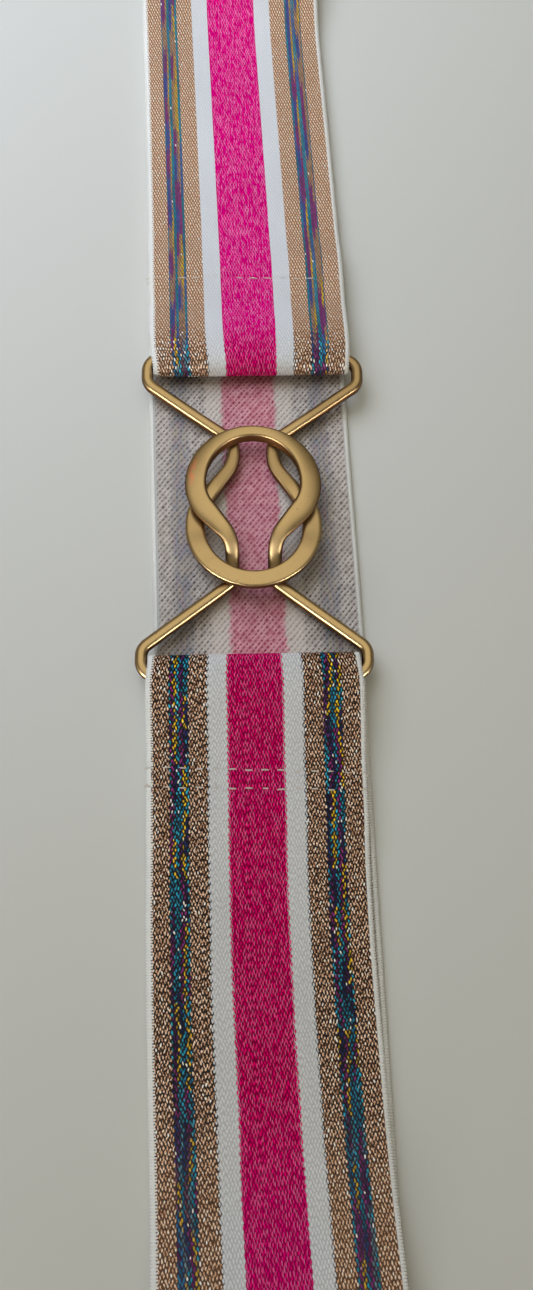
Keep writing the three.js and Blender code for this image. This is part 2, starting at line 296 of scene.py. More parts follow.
class Station:
    """One place on the strap's route, and how the cloth lies there."""

    def __init__(self, before, at, after, run):
        self.along, self.height, self.layer = at
        ahead = Vector((after[0] - before[0], after[1] - before[1])).normalized()
        self.ahead_along, self.ahead_up = ahead
        self.run = run
        back = self.layer == "back"
        self.wander = read_rows(BACK_WANDER if back else FRONT_WANDER, self.along)
        self.width = STRAP_WIDTH if back else read_rows(FRONT_WIDTH, self.along)
        self.lean = 0 if back else read_rows(FRONT_LEAN, self.along)

    def point(self, across, out):
        """A point by its distance from the middle thread and out of the cloth's right side."""
        along = self.along + self.lean * across - out * self.ahead_up
        return Vector((self.wander + across, along, self.height + out * self.ahead_along))


def strap_stations():
    route = strap_route()
    stations, run = [], 0
    for i, at in enumerate(route):
        before, after = route[max(0, i - 1)], route[min(len(route) - 1, i + 1)]
        run += math.dist(before[:2], at[:2])
        stations.append(Station(before, at, after, run))
    return stations


def seam_dent(along, across):
    """How far the sewing thread pulls the front layer down at a place."""
    dent = 0
    for row in SEAMS:
        off = along - row["along"] - row["skew"] * across
        if abs(off) < DENT_REACH and abs(across) < DENT_HALF_LENGTH:
            pucker = 0.8 + 0.2 * math.cos(2 * math.pi * across / PUCKER_STEP)
            dent += row["sunk"] * pucker * math.exp(-((off / DENT_WIDTH) ** 2))
            ridge = math.exp(-(((abs(off) - RIDGE_OFF) / RIDGE_WIDTH) ** 2))
            dent -= RIDGE_SHARE * row["sunk"] * ridge
    return dent


def place_object(name, data):
    """Puts a new object in the scene, at the origin."""
    item = bpy.data.objects.new(name, data)
    bpy.context.scene.collection.objects.link(item)
    return item


def make_smooth(mesh):
    mesh.polygons.foreach_set("use_smooth", [True] * len(mesh.polygons))


def new_piece(name, points, faces, materials, face_materials=None):
    """A mesh object. Points are in millimetres in the part's frame."""
    mesh = bpy.data.meshes.new(name)
    mesh.from_pydata([tuple(MM * value for value in point) for point in points], [], faces)
    for material in materials:
        mesh.materials.append(material)
    if face_materials:
        mesh.polygons.foreach_set("material_index", face_materials)
    make_smooth(mesh)
    mesh.validate()
    return place_object(name, mesh)


def bake(guide, name):
    """Puts the mesh that a guide object evaluates to in the guide's place."""
    graph = bpy.context.evaluated_depsgraph_get()
    mesh = bpy.data.meshes.new_from_object(guide.evaluated_get(graph))
    guide.modifiers.clear()
    bpy.data.objects.remove(guide)
    if not mesh.polygons:
        raise RuntimeError(f"{name} came out empty")
    mesh.name = name
    return place_object(name, mesh)


def write_attribute(piece, name, vectors):
    layer = piece.data.attributes.new(name, "FLOAT_VECTOR", "POINT")
    layer.data.foreach_set("vector", [value for vector in vectors for value in vector])


def ring_faces(rings, sides, closed):
    """Quads between rings of points, as (faces, the side that each belongs to)."""
    faces, owners = [], []
    for r in range(rings if closed else rings - 1):
        here, there = r * sides, (r + 1) % rings * sides
        for s in range(sides):
            t = (s + 1) % sides
            faces.append((here + s, there + s, there + t, here + t))
            owners.append(s)
    return faces, owners


def connect(tree, value, socket):
    """Gives a socket a plain value, or links it to a term, a node or another socket."""
    value = value.value if isinstance(value, Term) else value
    value = value.outputs[0] if isinstance(value, bpy.types.Node) else value
    if isinstance(value, bpy.types.NodeSocket):
        tree.links.new(value, socket)
    elif socket.type == "RGBA" and len(value) == 3:
        socket.default_value = (*value, 1)
    else:
        socket.default_value = value


def new_node(tree, kind, inputs=(), **settings):
    """Adds a node. inputs gives each socket's number or name, and what goes into it."""
    node = tree.nodes.new(kind)
    for name, value in settings.items():
        setattr(node, name, value)
    for key, value in dict(inputs).items():
        connect(tree, value, node.inputs[key])
    return node


def fill_ramp(ramp, stops):
    """Gives a colour ramp its (place, colour) stops."""
    while len(ramp.elements) < len(stops):
        ramp.elements.new(1)
    for element, (position, colour) in zip(ramp.elements, stops):
        element.position = position
        element.color = (*colour, 1)


def operation(kind):
    """A method that adds one Math node and gives what comes out of it."""
    def method(self, *others):
        node = new_node(self.tree, "ShaderNodeMath", enumerate((self, *others)), operation=kind)
        return Term(self.tree, node.outputs[0])

    return method


class Term:
    """A number in a node tree, so that a pattern or a shape can be written as a formula."""

    def __init__(self, tree, value):
        self.tree, self.value = tree, value

    __add__ = __radd__ = operation("ADD")
    __sub__ = operation("SUBTRACT")
    __mul__ = __rmul__ = operation("MULTIPLY")
    __truediv__ = operation("DIVIDE")
    floor = operation("FLOOR")
    sign = operation("SIGN")
    size = operation("ABSOLUTE")
    sine = operation("SINE")
    cosine = operation("COSINE")
    power = operation("POWER")
    most = operation("MAXIMUM")
    least = operation("MINIMUM")
    # 1 where the term is greater than a limit, and 0 elsewhere.
    over = operation("GREATER_THAN")

    def __rsub__(self, other):
        return Term(self.tree, other) - self

    def ease(self, low, high):
        """Rises smoothly from 0 at low to 1 at high."""
        inputs = {"Value": self, "From Min": low, "From Max": high}
        node = new_node(
            self.tree, "ShaderNodeMapRange", inputs, interpolation_type="SMOOTHSTEP"
        )
        return Term(self.tree, node.outputs["Result"])


class Formulas:
    """What materials and shapes share: both are node trees that formulas are written in."""

    def node(self, kind, inputs=(), **settings):
        return new_node(self.tree, kind, inputs, **settings)

    def vector(self, x=0.0, y=0.0, z=0.0):
        return self.node("ShaderNodeCombineXYZ", enumerate((x, y, z))).outputs[0]


class Finish(Formulas):
    """Builds one material."""

    def __init__(self, name):
        self.material = bpy.data.materials.new(name)
        self.material.use_nodes = True
        self.tree = self.material.node_tree
        self.shader = self.tree.nodes["Principled BSDF"]

    def parts(self, vector):
        """The three numbers of a vector or colour."""
        node = self.node("ShaderNodeSeparateXYZ", {0: vector})
        return [Term(self.tree, output) for output in node.outputs]

    def attribute(self, name):
        node = self.node("ShaderNodeAttribute", attribute_name=name)
        return self.parts(node.outputs["Vector"])

    def place(self):
        """The point's place on the object, in millimetres."""
        node = self.node("ShaderNodeTexCoord")
        return [term / MM for term in self.parts(node.outputs["Object"])]

    def noise(self, x, y=0.0, z=0.0, detail=0.0, roughness=0.5):
        """Smooth noise from 0 to 1, about one swell for each unit of the coordinates."""
        node = self.node("ShaderNodeTexNoise", {
            "Vector": self.vector(x, y, z), "Scale": 1, "Detail": detail, "Roughness": roughness,
        })
        return Term(self.tree, node.outputs["Fac"])

    def chance(self, x, y=0.0, z=0.0):
        """Three random numbers for each whole-numbered place."""
        inputs = {"Vector": self.vector(x, y, z)}
        node = self.node("ShaderNodeTexWhiteNoise", inputs, noise_dimensions="3D")
        return self.parts(node.outputs["Color"])

    def ramp(self, term, stops, interpolation="LINEAR"):
        """A colour read from (place, colour) stops."""
        node = self.node("ShaderNodeValToRGB", {0: term})
        node.color_ramp.interpolation = interpolation
        fill_ramp(node.color_ramp, stops)
        return node.outputs["Color"]

    def blend(self, share, first, second, kind="MIX"):
        """A colour between two others."""
        inputs = {0: share, 6: first, 7: second}
        node = self.node(
            "ShaderNodeMix", inputs, data_type="RGBA", blend_type=kind, clamp_factor=True
        )
        return node.outputs[2]

    def layers(self, colour, *covers):
        """A colour with others laid over it, each given as (share, colour)."""
        for share, cover in covers:
            colour = self.blend(share, colour, cover)
        return colour

    def tint(self, colour, term):
        """A colour made lighter or darker by a number."""
        return self.blend(1.0, colour, self.vector(term, term, term), "MULTIPLY")

    def relief(self, height, distance, strength):
        """Bumps of the given depth in metres where the height goes from 0 to 1."""
        inputs = {"Height": height, "Distance": distance, "Strength": strength}
        node = self.node("ShaderNodeBump", inputs)
        connect(self.tree, node.outputs["Normal"], self.shader.inputs["Normal"])

    def set(self, **inputs):
        """Sets shader inputs by their names, with _ for a space."""
        for name, value in inputs.items():
            connect(self.tree, value, self.shader.inputs[name.replace("_", " ")])


class ElasticSettings(bpy.types.PropertyGroup):
    thread_pitch: FloatProperty(
        name="Thread pitch", description="Distance between the lengthwise threads",
        default=0.357 * MM, min=0.2 * MM, max=2 * MM, unit="LENGTH",
    )
    float_pitch: FloatProperty(
        name="Float pitch", description="Distance between one thread's floats on the right side",
        default=1.667 * MM, min=0.5 * MM, max=5 * MM, unit="LENGTH",
    )
    pink: FloatVectorProperty(
        name="Pink", description="Middle stripe", subtype="COLOR", min=0, max=1,
        default=srgb(214, 0, 122),
    )
    white: FloatVectorProperty(
        name="White", description="Stripes beside the pink", subtype="COLOR", min=0, max=1,
        default=srgb(218, 219, 218),
    )
    gold: FloatVectorProperty(
        name="Rose gold", description="Metallic stripes", subtype="COLOR", min=0, max=1,
        default=srgb(202, 154, 118),
    )
    selvedge: FloatVectorProperty(
        name="Selvedge", description="Ribbed edges", subtype="COLOR", min=0, max=1,
        default=srgb(232, 232, 226),
    )
    rib_pitch: FloatProperty(
        name="Rib pitch", description="Distance between the ribs of the selvedge",
        default=0.6 * MM, min=0.2 * MM, max=3 * MM, unit="LENGTH",
    )


class ThreadSettings(bpy.types.PropertyGroup):
    stitch_pitch: FloatProperty(
        name="Stitch pitch", description="Distance from one stitch to the next",
        default=3.55 * MM, min=1 * MM, max=10 * MM, unit="LENGTH",
    )
    stitch_length: FloatProperty(
        name="Stitch length", description="Length of thread that shows in one stitch",
        default=2.5 * MM, min=0.5 * MM, max=10 * MM, unit="LENGTH",
    )
    thickness: FloatProperty(
        name="Thread", description="Thickness of the two-ply thread",
        default=0.38 * MM, min=0.1 * MM, max=2 * MM, unit="LENGTH",
    )
    colour: FloatVectorProperty(
        name="Thread colour", description="Cream sewing thread", subtype="COLOR", min=0, max=1,
        default=srgb(204, 196, 184),
    )
    seed: IntProperty(name="Seed", description="Varies the stitches", default=4, min=0)


class BrassSettings(bpy.types.PropertyGroup):
    brass: FloatVectorProperty(
        name="Brass", description="Satin metal", subtype="COLOR", min=0, max=1,
        default=srgb(209, 181, 133),
    )
    # Painted shade and patina: this brown goes on the wire's flanks, inner walls and the right
    # slope of the ring on top as painted shade, and in the casting pits as patina.
    shade_and_tarnish: FloatVectorProperty(
        name="Tarnish", description="Brown in the creases", subtype="COLOR", min=0, max=1,
        default=srgb(92, 59, 32),
    )
    roughness: FloatProperty(
        name="Roughness", description="Of the satin finish", default=0.28, min=0, max=1,
        subtype="FACTOR",
    )


class StageSettings(bpy.types.PropertyGroup):
    table: FloatVectorProperty(
        name="Table", description="Plain pale surface under the belt", subtype="COLOR", min=0,
        max=1, default=srgb(206, 206, 198),
    )
    key_power: FloatProperty(
        name="Key light", description="Power of the soft light at the top left", default=2.0, min=0,
        unit="POWER",
    )
    front_power: FloatProperty(
        name="Front light", description="Power of the low light in front", default=60, min=0,
        unit="POWER",
    )
    window_power: FloatProperty(
        name="Windows", description="Power of the windows mirrored in the metal", default=50, min=0,
        unit="POWER",
    )
    surroundings: FloatProperty(
        name="Surroundings", description="Strength of the light from all round", default=1.0,
        min=0,
    )
    lens: FloatProperty(
        name="Lens", description="Focal length of the camera", default=26.79, min=1, unit="CAMERA",
    )


# How far from the middle each stripe or pair of stripes ends. The selvedges begin at the last.
STRIPES = {"pink": 6.7, "white": 11.15, "gold": 15.45, "multi": 19.95, "selvedge": 24.05}

# Each changing stripe lies between two gold bands. These are the width of one of its yarns, the
# width of a yarn's strands, how long a yarn keeps its colour, and how many families of colours
# take turns across it.
YARN_WIDTH = 0.7
STRAND_WIDTH = 0.17
COLOUR_RUN = 8.5
FAMILIES = 3

# How quickly a float gives way to the ground, from its middle sideways and lengthwise.
FLOAT_ACROSS = 8.6
FLOAT_ALONG = 9.8

# How far from the middle the shade under the ribs sets in on the right side, and the white border
# on the wrong side at the left edge. At the right edge that border lies a little further out.
RIB_SHADE = (24.2, 24.5)
WRONG_BORDER = (23.4, 23.7)


def stripe_mask(across, stripe, edge=0.0):
    """1 where a place is within a stripe's outer border, and 0 outside it."""
    half = across.size()
    if not edge:
        return 1 - half.over(STRIPES[stripe])
    return 1 - half.ease(STRIPES[stripe] - edge, STRIPES[stripe] + edge)


def woven_floats(finish, across, floats, pitch, leans, stagger):
    """The nearest float of two sets that lie in brick order. Gives how far the place is from its
    middle, with 1 at its border, how far sideways and lengthwise in shares of the room it has,
    its thread's place, and three random numbers. The stagger is how unevenly the threads start.
    """
    nearest = None
    for turn, lean in enumerate(leans):
        u = across / (2 * pitch) + turn / 2
        column = u.floor()
        v = floats + finish.chance(column, turn + 5.0)[0] * stagger + turn / 2
        row = v.floor()
        off_along = v - row - 0.5
        off_across = u - column - 0.5 + off_along * lean
        apart = off_across * off_across * FLOAT_ACROSS + off_along * off_along * FLOAT_ALONG
        apart = apart.power(0.5)
        centre = (column + (0.5 - turn / 2)) * (2 * pitch)
        found = [apart, off_across, off_along, centre]
        found += finish.chance(column, row, float(turn))
        if nearest is None:
            nearest = found
        else:
            other = nearest[0].over(apart)
            nearest = [a + (b - a) * other for a, b in zip(nearest, found)]
    return nearest


def right_side_finish(settings):
    """The elastic's right side: lengthwise floats in brick order, like rows of rice grains."""
    finish = Finish("elastic_right_side")
    across, along, _ = finish.attribute("weave")
    _, belt_along, _ = finish.place()
    pitch = settings.thread_pitch / MM

    # More of the ground shows between the floats in the lower part and at the upper fold, and there
    # the weave is painted with strong contrast: painted shade in the ground between the floats and
    # painted highlights on the palest floats. Elsewhere it is painted smooth and even.
    grainy_shaded = (1 - belt_along.ease(-45, 60)).most((1 - belt_along.ease(38, 54)) * 0.7)
    # Painted light: towards the lower end the cloth is painted paler, with less contrast.
    lit_lower_end = 1 - belt_along.ease(-165, -125)
    grainy_shaded = grainy_shaded * (1 - lit_lower_end * 0.4)
    wander = finish.noise(across * 0.9, along * 0.6, 3.0) - 0.5
    drift = finish.noise(across * 0.08, along * 0.05, 8.0) - 0.5
    slip = finish.noise(across * 0.5, along * 0.25, 5.0) - 0.5
    fibre = finish.noise(across * 2.9, along * 1.4, 6.0) - 0.5
    upright = 1 - stripe_mask(across, "pink") * 0.55
    apart, off_across, off_along, centre, first, second, third = woven_floats(
        finish,
        across + wander * 0.26 + drift * 0.5,
        along / (settings.float_pitch / MM) + slip * 0.5,
        pitch,
        ((grainy_shaded * 0.02 + 0.32) * upright, (grainy_shaded * -0.66 + 0.32) * upright),
        grainy_shaded * 0.2 + 0.04,
    )
    changing = stripe_mask(centre, "multi") * (1 - stripe_mask(centre, "gold"))
    metal = 1 - stripe_mask(centre, "white")
    grain = (1 - apart * apart * 0.8).most(0.0).power(0.5)
    ragged = apart + fibre * (grainy_shaded * 0.9 + 0.3)
    in_pink = stripe_mask(centre, "pink")
    merged = (changing * 0.35 + in_pink * 0.2) * (1 - grainy_shaded)
    gap = (ragged + changing * grainy_shaded * 0.1 - merged).ease(0.53, 0.98)

    # Metallic stripes: pale, middling and dark floats, each painted darker towards its border as
    # painted shade, and now and then one painted white as a painted highlight, where it would catch
    # the light.
    fleck = finish.noise(across * 4.2, along * 2.2, 13.0) - 0.5
    level = (first * 0.35 + fleck * 1.9 - ragged * 0.3 + 0.43) * (grainy_shaded * 0.7 + 0.3)
    gold = finish.ramp(level + (1 - grainy_shaded) * 0.54 + 0.06, (
        (0.0, srgb(46, 26, 16)), (0.2, srgb(118, 78, 54)), (0.45, settings.gold),
        (0.68, srgb(238, 194, 158)), (0.9, srgb(255, 243, 224)),
    ))
    # Painted highlights: the white floats are painted much more often near the upper fold and the
    # sewn row, and in patches.
    fold_glint = (1 - (belt_along - 40).size().ease(1, 10)) * 0.2
    sewn_glint = (1 - (belt_along - 69).size().ease(1, 7)) * 0.04
    swarm = finish.noise(across * 0.45, along * 0.3, 21.0).ease(0.5, 0.75)
    often = (fold_glint + sewn_glint) * (swarm * 1.4 + 0.2) + (swarm * 0.12 + 0.015) * grainy_shaded
    glint = second.over(0.992 - often) * (1 - ragged.ease(0.4, 0.85))

    # The changing stripe: a few yarns lie side by side, and each takes another colour now and then.
    side = across.over(0) * 40
    sway = finish.noise(along * 0.07, side, 11.0) - 0.5
    lane = across + (centre - across) * grainy_shaded
    strand, strand_end, _ = finish.chance((across / STRAND_WIDTH).floor(), side, 5.0)
    mixed = (second - 0.5) * grainy_shaded * 0.5 + (strand - 0.5) * (1 - grainy_shaded) * 0.7
    yarn = (lane / YARN_WIDTH + sway * (grainy_shaded * 3.6 + 0.6) + mixed).floor()
    start, _, _ = finish.chance(yarn, side, 2.0)
    run = along / COLOUR_RUN + start * 9 + third * 0.16 * grainy_shaded
    run = (run + strand_end * (1 - grainy_shaded) * 0.6).floor()
    # Each third of the colours belongs to every third yarn, so that neighbours always differ.
    family = yarn - (yarn / FAMILIES).floor() * FAMILIES
    pick = (finish.chance(yarn, run, side + 3)[0] + family) / FAMILIES
    multi = finish.ramp(pick, (
        (0.0, srgb(226, 184, 30)), (0.16, srgb(36, 150, 178)), (0.26, srgb(44, 32, 84)),
        (0.334, srgb(44, 168, 196)), (0.48, srgb(30, 128, 156)), (0.6, srgb(24, 38, 88)),
        (0.667, srgb(134, 44, 112)), (0.79, srgb(30, 132, 164)), (0.9, srgb(86, 36, 96)),
    ), "CONSTANT")
    bright = finish.ramp(pick, (
        (0.0, srgb(214, 174, 44)), (0.12, srgb(176, 140, 104)), (0.25, srgb(146, 60, 120)),
        (0.334, srgb(24, 146, 168)), (0.48, srgb(20, 126, 146)), (0.58, srgb(64, 112, 170)),
        (0.667, srgb(136, 58, 122)), (0.8, srgb(70, 88, 160)), (0.92, srgb(176, 140, 104)),
    ), "CONSTANT")
    multi = finish.blend(grainy_shaded, bright, multi)
    deep = 1 - belt_along.ease(-125, -60)
    multi = finish.blend(deep * 0.3, multi, srgb(22, 24, 60))
    # Painted shade: each float of the changing stripe is painted darker towards its border.
    multi = finish.tint(multi, (first - ragged * 0.5) * (grainy_shaded * 0.9 + 0.3) + 0.82)

    # The pink stripe has paler patches along its threads.
    pink = finish.blend(grainy_shaded, settings.pink, srgb(222, 0, 100))
    # Painted shade: in the lower part each pink float is painted darker towards its border.
    pink = finish.tint(pink, first * 0.35 - ragged * grainy_shaded * 0.3 + 0.95)
    pale = finish.noise(across * 2.8, along * 0.3, 31.0).ease(0.5, 0.66) * (1 - grainy_shaded * 0.75)
    pink = finish.blend(pale * 0.55, pink, srgb(250, 136, 190))

    cord = finish.noise(across * 1.8, along * 0.08, 14.0)
    # Painted light: the white is painted paler towards the lower end.
    white = finish.tint(settings.white, first * 0.05 + cord * 0.08 + lit_lower_end * 0.12 + 0.92)

    base = finish.layers(
        gold,
        (stripe_mask(lane, "multi"), multi),
        (stripe_mask(lane, "gold"), gold),
        (glint * metal, srgb(255, 252, 244)),
        (stripe_mask(lane, "white"), white),
        (stripe_mask(lane, "pink"), pink),
    )

    # The ground's stripes end up to one thread further in, so that their borders look toothed.
    ground = lane.size() + grainy_shaded * pitch
    under_multi = stripe_mask(ground, "multi") * (1 - stripe_mask(ground, "gold"))
    # Painted shade: the ground between the floats is painted dark, nearly black where more of it
    # shows, as the shade between the floats.
    dark = finish.layers(
        finish.blend(grainy_shaded, srgb(136, 100, 76), srgb(18, 9, 5)),
        (under_multi, finish.blend(grainy_shaded, srgb(78, 62, 84), srgb(10, 8, 20))),
        (stripe_mask(ground, "white"),
         finish.blend(grainy_shaded, srgb(204, 206, 209), srgb(190, 188, 183))),
        (stripe_mask(ground, "pink"), finish.blend(grainy_shaded, srgb(186, 0, 98), srgb(128, 0, 52))),
    )
    colour = finish.blend(gap * 0.97, base, dark)
    # A pale thread of the ground shows as a thin streak beside many of the pink floats.
    streak = (1 - (off_across - 0.2).size().ease(0.03, 0.13)) * third.ease(0.3, 0.7)
    streak = streak * (1 - (off_along + fibre * 0.5).size().ease(0.34, 0.5))
    pale_pink = finish.blend(grainy_shaded, srgb(255, 170, 212), srgb(255, 150, 194))
    colour = finish.blend(streak * in_pink * 0.65, colour, pale_pink)
    cloudy = finish.noise(across * 0.05, along * 0.03, 2.0, detail=2.0)
    colour = finish.tint(colour, cloudy * 0.16 + 0.92)

    edge = across.size().ease(STRIPES["selvedge"] - 0.15, STRIPES["selvedge"] + 0.15)
    under_ribs = across.size().ease(*RIB_SHADE)
    selvedge = finish.tint(settings.selvedge, 1 - under_ribs * 0.38)
    colour = finish.blend(edge, colour, selvedge)
    shine = metal * (1 - edge)
    finish.set(
        Base_Color=colour,
        Metallic=shine * grain * 0.4,
        Roughness=0.86 - shine * 0.42 + first * 0.08,
        Specular_IOR_Level=0.2 - in_pink * 0.18,
    )
    in_white = 1 - metal - in_pink
    finish.relief(grain * (1 - edge) * (1 - in_white * 0.6), 0.16 * MM, 0.5)
    return finish.material


def wrong_side_finish(settings):
    """The elastic's wrong side: slanting ridges of beads, with the stripes showing through."""
    finish = Finish("elastic_wrong_side")
    across, along, _ = finish.attribute("weave")
    bead_step = 2 * settings.thread_pitch / MM
    bead_lift = settings.float_pitch / MM / 2
    ridge_step = math.hypot(bead_step, bead_lift)
    slant = math.atan2(bead_lift, bead_step)
    wander = finish.noise(across * 0.5, along * 0.5, 3.0) - 0.5
    slip = finish.noise(across * 0.5, along * 0.5, 9.0) - 0.5
    x, y = across + wander * 0.3, 0 - along + slip * 0.3
    up_ridge = x * math.cos(slant) + y * math.sin(slant)
    over_ridge = y * math.cos(slant) - x * math.sin(slant)
    ridge_gap = 2 * bead_step * bead_lift / ridge_step
    shift = (bead_lift**2 - bead_step**2) / ridge_step
    ridge_place = over_ridge / ridge_gap
    ridge = ridge_place.floor()
    bead_place = (up_ridge - ridge * shift) / ridge_step
    bead = bead_place.floor()
    off_x, off_y = (ridge_place - ridge) - 0.5, (bead_place - bead) - 0.5
    fibre = finish.noise(across * 2.6, along * 2.6, 6.0) - 0.5
    hollow = off_x * off_x * 19 + off_y * off_y * 5 + fibre * 1.1
    first, second, third = finish.chance(ridge, bead, 4.0)
    pit = 1 - (hollow * (second * 0.9 + 0.8)).ease(0.3, 1.3)
    valley = 1 - off_x.size().ease(0.05, 0.42)
    seen = across + (second - 0.5) * 0.9

    # Behind each stripe the beads and the pits between them take some of its colour.
    tinted = finish.noise(across * 0.7, along * 0.14, 17.0)
    ground = finish.ramp(tinted, (
        (0.3, srgb(176, 167, 157)), (0.42, srgb(164, 158, 154)), (0.5, srgb(150, 152, 156)),
        (0.6, srgb(164, 150, 154)), (0.7, srgb(172, 164, 152)),
    ))
    plain = finish.blend(first, srgb(176, 168, 160), srgb(208, 200, 192))
    multi = stripe_mask(seen, "multi", 1.2) * (1 - stripe_mask(seen, "gold", 1.2))
    white, pink = stripe_mask(seen, "white", 0.7), stripe_mask(seen, "pink", 0.8)
    pinkish = finish.blend(first, srgb(194, 122, 134), srgb(220, 162, 170))
    beads = finish.layers(plain, (multi, ground), (white, srgb(212, 202, 192)), (pink, pinkish))
    # Painted shade: the pits between the beads, and a little the valleys along the ridges, are
    # painted darker than the beads, as the shade in these hollows.
    shaded = finish.tint(ground, third * 0.12 + 0.22)
    pits = finish.layers(
        srgb(98, 84, 78),
        (multi, shaded),
        (white, srgb(172, 162, 152)),
        (pink, srgb(150, 54, 84)),
    )
    colour = finish.blend(pit * (0.5 + third * 0.45) + valley * 0.05, beads, pits)
    edge = (across.size() + across.over(0) * -0.5).ease(*WRONG_BORDER)
    colour = finish.blend(edge, colour, finish.tint(settings.selvedge, 0.62))
    finish.set(Base_Color=colour, Roughness=0.9, Specular_IOR_Level=0.25)
    finish.relief((pit * 0.75 + valley * 0.25) * (edge - 1), 0.18 * MM, 0.7)
    return finish.material


def selvedge_finish(settings):
    """White yarn wrapped across the edges, with fine plies along each rib."""
    finish = Finish("elastic_selvedge")
    x, y, z = finish.place()
    fibre = finish.noise(x * 1.2, y * 7.0, z * 1.2, detail=2.0)
    cloud = finish.noise(x * 0.1, y * 0.05, z * 0.1)
    colour = finish.tint(settings.selvedge, fibre * 0.22 + cloud * 0.1 + 0.84)
    finish.set(Base_Color=colour, Roughness=0.82, Sheen_Weight=0.2, Sheen_Roughness=0.4)
    finish.relief(fibre, 0.06 * MM, 0.5)
    return finish.material


def thread_finish(settings):
    """Cream thread, darker where its two plies meet."""
    finish = Finish("sewing_thread")
    x, y, z = finish.place()
    fuzz = finish.noise(x * 3, y * 3, z * 3, detail=3.0)
    colour = finish.tint(settings.colour, fuzz * 0.5 + 0.72)
    finish.set(Base_Color=colour, Roughness=0.75, Sheen_Weight=0.15)
    finish.relief(fuzz, 0.05 * MM, 0.6)
    return finish.material


def brass_finish(settings):
    """Satin antique brass: bright where it rubs, with brown painted shade on its flanks and inner
    walls.
    """
    finish = Finish("antique_brass")
    x, y, z = finish.place()
    outward, upward, run = finish.attribute("wire")
    cloud = finish.noise(x * 0.13, y * 0.13, z * 0.13, detail=3.0, roughness=0.6)
    speck = finish.noise(x * 1.6, y * 1.6, z * 1.6, detail=2.0)
    brushed = finish.noise(x * 5, y * 0.8, z * 5, detail=2.0)

    # Painted shade, partly patina: the flanks and inner walls are painted brown, mostly for the
    # dark surroundings that they mirror and the shade that they lie in.
    flank = 1 - upward.ease(0.48, 0.95)
    inner = 1 - outward.ease(-0.99, -0.8)
    shade = (flank + inner * 0.25 + (cloud - 0.5) * (flank * 0.5 + 0.35)).most(0.0).least(1.0)
    arm = run.ease(23, 27) * (1 - run.ease(33, 37))
    rubbed = upward.ease(0.75, 1.0) * cloud.ease(0.42, 0.62)

    # Painted shade: the ring that lies on top is painted a darker brown on its right slope, and so
    # is the arm beyond it.
    right_slope_shade = x.ease(11, 16.5) * y.ease(-4, 3)
    # One rubbed, coppery spot on the ring's outer slope.
    bow = (y - 6.0) * (y - 6.0) * 0.03
    spot = ((x - bow + 15.0).power(2.0) * 1.1 + (y - 9.0).power(2.0) * 0.05).power(0.5)
    blotch = finish.noise(x * 0.9, y * 0.5, 4.0, detail=2.0).ease(0.3, 0.55)
    copper = (1 - spot.ease(0.35, 1.2)) * blotch
    # A few pits left by the casting.
    pits = speck.ease(0.7, 0.76)

    shade_and_tarnish = settings.shade_and_tarnish
    colour = finish.layers(
        settings.brass,
        (shade * 0.96, shade_and_tarnish),
        (rubbed * 0.25, srgb(226, 198, 150)),
        (right_slope_shade * 0.3, shade_and_tarnish),
        (copper * 0.85, srgb(250, 166, 126)),
        (pits * 0.6, shade_and_tarnish),
    )
    finish.set(
        Base_Color=colour,
        Metallic=1.0,
        Roughness=settings.roughness + shade * 0.2 + (cloud - 0.5) * 0.14 + arm * 0.2,
    )
    finish.relief(brushed * 0.4 + speck * 0.6, 0.02 * MM, 0.2)
    return finish.material


def table_finish(settings):
    """A plain pale table, very slightly mottled."""
    finish = Finish("pale_table")
    x, y, _ = finish.place()
    cloud = finish.noise(x * 0.004, y * 0.004, detail=2.0)
    colour = finish.tint(settings.table, cloud * 0.05 + 0.975)
    finish.set(Base_Color=colour, Roughness=0.55)
    return finish.material


def strap_section(width):
    """The strap's outline as (across, out, side of the cloth), with rounded selvedges."""
    half, out, round_in = width / 2, STRAP_THICKNESS / 2, 0.7
    flat = half - round_in
    columns = [between(flat, -flat, i / STRAP_COLUMNS) for i in range(STRAP_COLUMNS + 1)]
    turns = [math.pi / 2 - math.pi * i / (EDGE_POINTS + 1) for i in range(1, EDGE_POINTS + 1)]
    right = [(across, out, 0) for across in columns]
    wrong = [(across, -out, 1) for across in reversed(columns)]
    left_edge = [(-flat - round_in * math.cos(t), out * math.sin(t), 2) for t in turns]
    right_edge = [(flat + round_in * math.cos(t), -out * math.sin(t), 2) for t in turns]
    return [*right, *left_edge, *wrong, *right_edge]


class BELT_OT_strap(bpy.types.Operator):
    """Weaves the elastic along its route, with its right side, wrong side and selvedges"""

    bl_idname = "belt.strap"
    bl_label = "Elastic strap"

    def execute(self, context):
        settings = context.scene.belt_elastic
        stations = strap_stations()
        points, weave = [], []
        for station in stations:
            for across, out, _ in strap_section(station.width):
                sunk = 0
                if station.layer == "front" and out > 0:
                    sunk = seam_dent(station.along, across)
                points.append(station.point(across, out - sunk))
                weave.append((across * STRAP_WIDTH / station.width, station.run, 0))
        section = strap_section(STRAP_WIDTH)
        sides = len(section)
        faces, owners = ring_faces(len(stations), sides, False)
        column_sides = [
            owner if owner == section[(i + 1) % sides][2] else 2
            for i, (_, _, owner) in enumerate(section)
        ]
        face_materials = [column_sides[owner] for owner in owners]
        last = (len(stations) - 1) * sides
        faces.append(tuple(range(sides)))
        faces.append(tuple(reversed(range(last, last + sides))))
        face_materials += [2, 2]
        finishes = [right_side_finish(settings), wrong_side_finish(settings)]
        finishes.append(selvedge_finish(settings))
        strap = new_piece("strap_woven", points, faces, finishes, face_materials)
        write_attribute(strap, "weave", weave)
        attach(strap, "root")
        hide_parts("strap")
        return {"FINISHED"}


